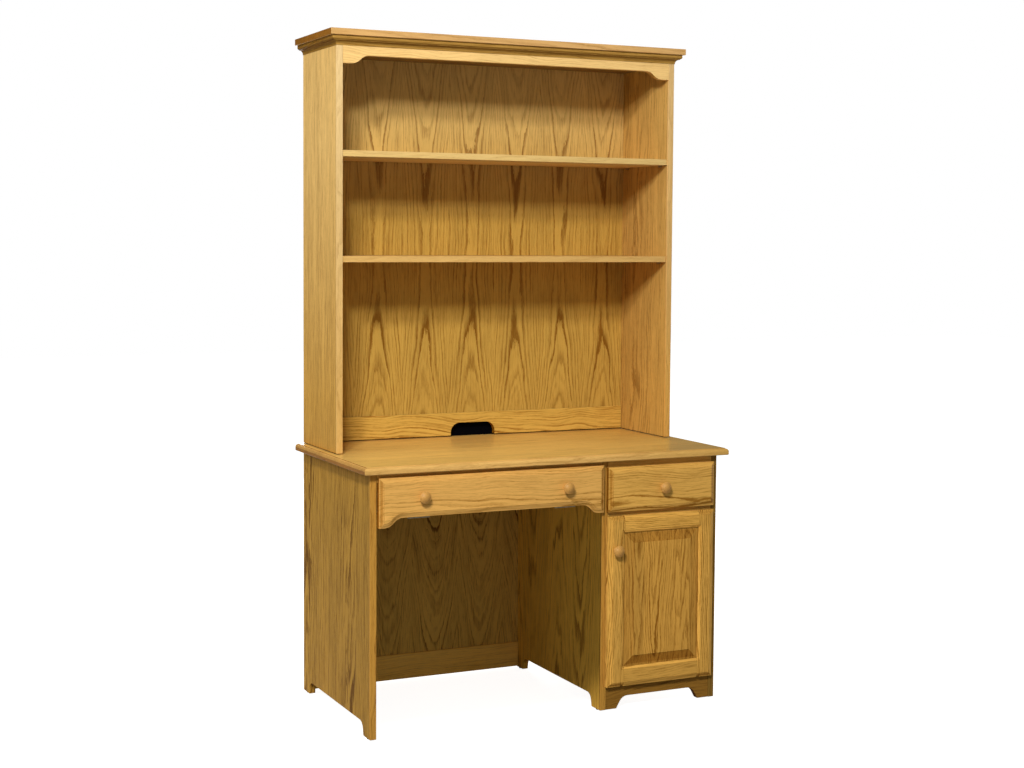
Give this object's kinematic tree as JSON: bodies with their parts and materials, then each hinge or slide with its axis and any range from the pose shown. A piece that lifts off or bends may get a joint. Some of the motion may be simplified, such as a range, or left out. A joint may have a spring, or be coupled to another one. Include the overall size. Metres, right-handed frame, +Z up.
{
  "type": "student desk with hutch",
  "caption": "Oak pedestal desk with a shelved hutch, a keyboard tray with a fold-down front, a drawer and a panelled cupboard door.",
  "frame": {"origin": "on the floor, below the middle of the closed desk's bounding box", "axes": "+Z up, -Y towards the sitter, +X to the sitter's right, on the side of the drawer and cupboard"},
  "size_m": [1.169, 0.6226, 1.9825],
  "materials": {
    "oak": "satin lacquer over honey stain",
    "drawer_wood": "clear sealed, unstained",
    "plywood": "oak veneer, satin lacquer",
    "steel": "zinc plated",
    "brass": "antique brass plate",
    "nylon": "moulded",
    "felt": "pressed felt"
  },
  "bodies": {
    "desk": {"assembly_screws": "steel", "cupboard_shelf": "oak", "desk_top": "oak", "divider_panel": "oak", "door_catch": "nylon", "door_hinge_frame_leaves": "brass", "drawer_door_rail": "oak", "drawer_slide_outer_members": "steel", "foot_glides": "nylon", "hutch_back_panel": "plywood", "hutch_back_rail": "oak", "hutch_cap": "oak", "hutch_crown_front": "oak", "hutch_crown_left": "oak", "hutch_crown_right": "oak", "hutch_front_rail": "oak", "hutch_left_side": "oak", "hutch_lower_shelf": "oak", "hutch_mending_plates": "steel", "hutch_pads": "felt", "hutch_right_side": "oak", "hutch_upper_shelf": "oak", "knee_back_bottom_rail": "oak", "knee_back_panel": "plywood", "knee_back_top_rail": "oak", "knee_front_top_rail": "oak", "left_end_panel": "oak", "pedestal_back_panel": "plywood", "pedestal_floor": "oak", "pedestal_front_top_rail": "oak", "right_end_panel": "oak", "shelf_pins": "steel", "toe_board": "oak", "tray_slide_outer_members": "steel"},
    "keyboard_tray": {"tray_floor": "drawer_wood", "tray_left_side": "drawer_wood", "tray_right_side": "drawer_wood", "tray_back": "drawer_wood", "tray_slide_inner_members": "steel", "tray_hinge_lower_leaves": "steel"},
    "tray_flap": {"tray_front": "oak", "tray_front_knobs": "oak", "tray_hinge_upper_leaves": "steel"},
    "tray_slide_middles": {"tray_slide_middle_members": "steel"},
    "pedestal_drawer": {"drawer_front": "oak", "drawer_knob": "oak", "drawer_left_side": "drawer_wood", "drawer_right_side": "drawer_wood", "drawer_back": "drawer_wood", "drawer_bottom": "plywood", "drawer_slide_inner_members": "steel"},
    "drawer_slide_middles": {"drawer_slide_middle_members": "steel"},
    "cupboard_door": {"door_knob_stile": "oak", "door_hinge_stile": "oak", "door_top_rail": "oak", "door_bottom_rail": "oak", "door_raised_panel": "oak", "door_knob": "oak", "door_hinge_door_leaves": "brass", "door_catch_strike": "steel"}
  },
  "joints": [
    {"name": "tray_slide", "type": "slide", "parent": "desk", "child": "keyboard_tray", "axis": [0, -1, 0], "range_m": [0, 0.34]},
    {"name": "tray_slide_middle", "type": "slide", "parent": "desk", "child": "tray_slide_middles", "axis": [0, -1, 0], "range_m": [0, 0.17]},
    {"name": "tray_flap_hinge", "type": "hinge", "parent": "keyboard_tray", "child": "tray_flap", "pos_m": [-0.187, -0.26435, 0.617], "axis": [1, 0, 0], "range_deg": [0, 90]},
    {"name": "drawer_slide", "type": "slide", "parent": "desk", "child": "pedestal_drawer", "axis": [0, -1, 0], "range_m": [0, 0.34]},
    {"name": "drawer_slide_middle", "type": "slide", "parent": "desk", "child": "drawer_slide_middles", "axis": [0, -1, 0], "range_m": [0, 0.17]},
    {"name": "door_hinge", "type": "hinge", "parent": "desk", "child": "cupboard_door", "pos_m": [0.5439, -0.26695, 0.3267], "axis": [0, 0, 1], "range_deg": [0, 105]}
  ],
  "couplings": [
    {"joint": "tray_slide_middle", "follows": "tray_slide", "ratio": 0.5},
    {"joint": "drawer_slide_middle", "follows": "drawer_slide", "ratio": 0.5}
  ]
}
